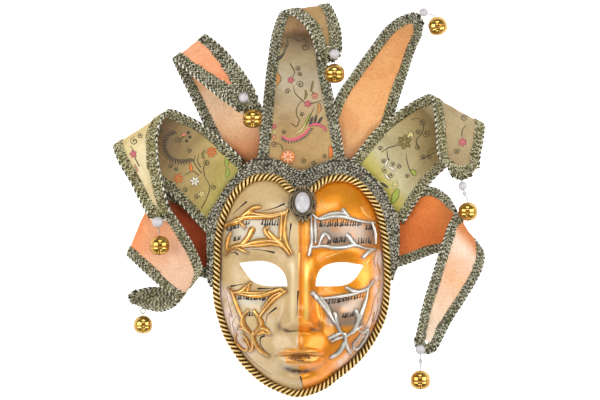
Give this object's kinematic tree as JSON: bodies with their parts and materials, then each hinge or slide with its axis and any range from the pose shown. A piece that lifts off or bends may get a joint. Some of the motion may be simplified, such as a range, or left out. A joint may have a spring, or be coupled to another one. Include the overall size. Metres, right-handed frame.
{
  "type": "jester volto mask",
  "caption": "Full-face jester mask lying face up: half cream, half gold papier-mache face, cord rim, cameo, braid hood and curled fabric points with bells.",
  "frame": {"origin": "middle of the mask's outline in the plane of the face's flat rim, which it lies on", "axes": "+Z out of the face, +Y from the chin to the crown, +X to the gold half of the face"},
  "size_m": [0.3727, 0.3955, 0.0716],
  "materials": {
    "face_paint": "painted and waxed papier-mache, cream on one half and gold on the other, antiqued",
    "gold_cord": "twisted metallic yarn",
    "braid": "plaited silver and black metallic braid",
    "brocade": "champagne brocade with scrolls, leaves and flowers",
    "velvet": "peach velvet, darker inside the curls",
    "bronze": "dark antique bronze filigree",
    "pearl": "pearly, glossy",
    "brass": "polished",
    "wire": "bright thin wire"
  },
  "bodies": {
    "root": {"face_shell": "face_paint", "rim_cord": "gold_cord", "hood_band": "braid", "cameo_setting": "bronze", "cameo_cabochon": "pearl", "point_centre": "brocade", "point_inner_left": "velvet", "point_inner_right": "velvet", "point_outer_left": "brocade", "point_outer_right": "brocade", "point_lower_left": "velvet", "point_lower_right": "velvet", "braid_centre": "braid", "braid_inner_left": "braid", "braid_inner_right": "braid", "braid_outer_left": "braid", "braid_outer_right": "braid", "braid_lower_left": "braid", "braid_lower_right": "braid", "bell_centre": "brass", "bell_inner_left": "brass", "bell_inner_right": "brass", "bell_outer_left": "brass", "bell_outer_right": "brass", "bell_lower_left": "brass", "bell_lower_right": "brass", "pearl_centre": "pearl", "pearl_inner_left": "pearl", "pearl_inner_right": "pearl", "pearl_outer_left": "pearl", "pearl_outer_right": "pearl", "pearl_lower_right": "pearl", "bead_outer_right": "pearl", "bead_lower_right": "pearl", "wire_centre": "wire", "wire_inner_left": "wire", "wire_inner_right": "wire", "wire_outer_left": "wire", "wire_outer_right": "wire", "wire_lower_right": "wire", "ring_lower_left": "wire"}
  },
  "joints": []
}
